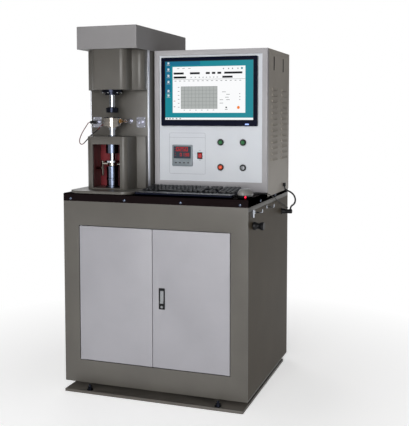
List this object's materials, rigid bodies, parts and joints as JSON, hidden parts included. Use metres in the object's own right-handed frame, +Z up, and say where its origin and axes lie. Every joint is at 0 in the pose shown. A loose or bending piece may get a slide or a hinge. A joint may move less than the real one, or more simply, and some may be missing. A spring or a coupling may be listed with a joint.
{
  "type": "friction and wear tester",
  "caption": "Bench-height friction and wear tester: belt-driven spindle over a loading ram with a specimen cup, beside a control console, on a two-door cabinet.",
  "frame": {"origin": "centre of the base plate's underside, on the floor", "axes": "+X to the right seen from the front, +Y to the rear, +Z up"},
  "size_m": [0.9368, 0.8036, 1.611],
  "materials": {
    "cabinet_paint": "olive grey powder coat, satin",
    "door_paint": "light grey powder coat, satin",
    "plate_steel": "dark grey-olive paint on plate, matt",
    "stainless": "ground stainless steel",
    "black_oxide": "black oxide, oiled",
    "bolt_steel": "zinc plated",
    "chrome": "polished chrome",
    "column_paint": "olive grey machine paint, satin",
    "cover_paint": "warm light grey powder coat, satin",
    "console_paint": "pale grey powder coat, satin",
    "panel_white": "cool white panel, fine matt",
    "black_plastic": "gloss black plastic with a screen",
    "dark_plastic": "matt black plastic",
    "slate_plastic": "slate grey plastic with a display",
    "green_lens": "translucent green plastic",
    "red_lens": "translucent red plastic",
    "red_plastic": "gloss red plastic",
    "mouse_plastic": "silver shell over a black base",
    "brass": "bright brass",
    "motor_paint": "black motor enamel",
    "galvanised": "zinc plated sheet",
    "rubber": "black rubber",
    "red_sleeve": "dark red flexible sleeve"
  },
  "bodies": {
    "machine": {"base_plate": "plate_steel", "anchor_bolts": "black_oxide", "cabinet_frame": "cabinet_paint", "side_panels": "cabinet_paint", "rear_panel": "cabinet_paint", "worktop": "stainless", "drive_unit": "galvanised", "door_pivots": "bolt_steel", "column_foot": "column_paint", "column_body": "column_paint", "edge_rails": "stainless", "head_block": "column_paint", "chamber_housing": "column_paint", "bearing_cap": "black_oxide", "spindle_bearings": "bolt_steel", "motor_bracket": "column_paint", "drive_motor": "motor_paint", "drive_belt": "rubber", "belt_cover": "cover_paint", "loading_cylinder": "black_oxide", "guide_bush": "black_oxide", "friction_sensor": "chrome", "sensor_sockets": "bolt_steel", "cord_plugs": "dark_plastic", "sensor_lead": "red_sleeve", "console_front_frame": "console_paint", "control_panel": "panel_white", "console_case": "console_paint", "console_side_cover": "console_paint", "monitor_case": "black_plastic", "controller_case": "slate_plastic", "control_bezels": "dark_plastic", "keyboard_case": "dark_plastic", "keycaps": "dark_plastic", "mouse_case": "mouse_plastic", "load_regulator": "galvanised", "side_hooks": "chrome", "cable_glands": "dark_plastic", "link_cable": "rubber", "mouse_cord": "rubber"},
    "left_leaf": {"left_door": "door_paint"},
    "right_leaf": {"right_door": "door_paint", "lock_body": "dark_plastic"},
    "lock_lever": {"lock_lever": "chrome"},
    "lock_button": {"lock_button": "chrome"},
    "spindle": {"spindle": "chrome", "chuck": "black_oxide", "spindle_pulley": "galvanised"},
    "motor_shaft": {"motor_pulley": "galvanised"},
    "ram": {"loading_ram": "chrome", "load_cell": "chrome"},
    "cup": {"specimen_cup": "stainless", "torque_arm": "brass"},
    "start_button": {"green_button_left": "green_lens"},
    "second_button": {"green_button_right": "green_lens"},
    "lamp_button": {"lamp_button": "red_lens"},
    "key": {"key_switch": "bolt_steel"},
    "rocker": {"rocker_switch": "red_plastic"},
    "regulator_knob": {"regulator_knob": "dark_plastic"},
    "mouse_wheel": {"mouse_wheel": "rubber"}
  },
  "joints": [
    {"name": "left_door_hinge", "type": "hinge", "parent": "machine", "child": "left_leaf", "pos_m": [-0.353, -0.294, 0.432], "axis": [0, 0, -1], "range_deg": [0, 105]},
    {"name": "right_door_hinge", "type": "hinge", "parent": "machine", "child": "right_leaf", "pos_m": [0.329, -0.294, 0.432], "axis": [0, 0, 1], "range_deg": [0, 105]},
    {"name": "lock_lever_swing", "type": "hinge", "parent": "right_leaf", "child": "lock_lever", "pos_m": [0.032, -0.2985, 0.466], "axis": [-1, 0, 0], "range_deg": [0, 35]},
    {"name": "lock_button_push", "type": "slide", "parent": "right_leaf", "child": "lock_button", "axis": [0, 1, 0], "range_m": [0, 0.002], "stiffness_N_per_m": 400, "springref_m": -0.002},
    {"name": "spindle_spin", "type": "hinge", "parent": "machine", "child": "spindle", "pos_m": [-0.269, -0.148, 1.4], "axis": [0, 0, 1], "continuous": true},
    {"name": "motor_spin", "type": "hinge", "parent": "machine", "child": "motor_shaft", "pos_m": [-0.269, 0.3, 1.5], "axis": [0, 0, 1], "continuous": true},
    {"name": "ram_lift", "type": "slide", "parent": "machine", "child": "ram", "axis": [0, 0, 1], "range_m": [0, 0.018]},
    {"name": "cup_turn", "type": "hinge", "parent": "ram", "child": "cup", "pos_m": [-0.269, -0.148, 1.19], "axis": [0, 0, -1], "range_deg": [0, 5]},
    {"name": "start_button_push", "type": "slide", "parent": "machine", "child": "start_button", "axis": [0, 1, 0], "range_m": [0, 0.003], "stiffness_N_per_m": 400, "springref_m": -0.002},
    {"name": "second_button_push", "type": "slide", "parent": "machine", "child": "second_button", "axis": [0, 1, 0], "range_m": [0, 0.003], "stiffness_N_per_m": 400, "springref_m": -0.002},
    {"name": "lamp_button_push", "type": "slide", "parent": "machine", "child": "lamp_button", "axis": [0, 1, 0], "range_m": [0, 0.003], "stiffness_N_per_m": 400, "springref_m": -0.002},
    {"name": "key_turn", "type": "hinge", "parent": "machine", "child": "key", "pos_m": [0.303, -0.003, 0.982], "axis": [0, 1, 0], "range_deg": [0, 90]},
    {"name": "rocker_tip", "type": "hinge", "parent": "machine", "child": "rocker", "pos_m": [0.099, 0.002, 1.033], "axis": [-1, 0, 0], "range_deg": [0, 16]},
    {"name": "regulator_turn", "type": "hinge", "parent": "machine", "child": "regulator_knob", "pos_m": [0.413, -0.226, 0.757], "axis": [1, 0, 0], "range_deg": [0, 720]},
    {"name": "mouse_wheel_roll", "type": "hinge", "parent": "machine", "child": "mouse_wheel", "pos_m": [0.375, -0.186, 0.896], "axis": [1, 0, 0], "continuous": true}
  ],
  "couplings": [
    {"joint": "motor_spin", "follows": "spindle_spin", "ratio": 1.25}
  ]
}
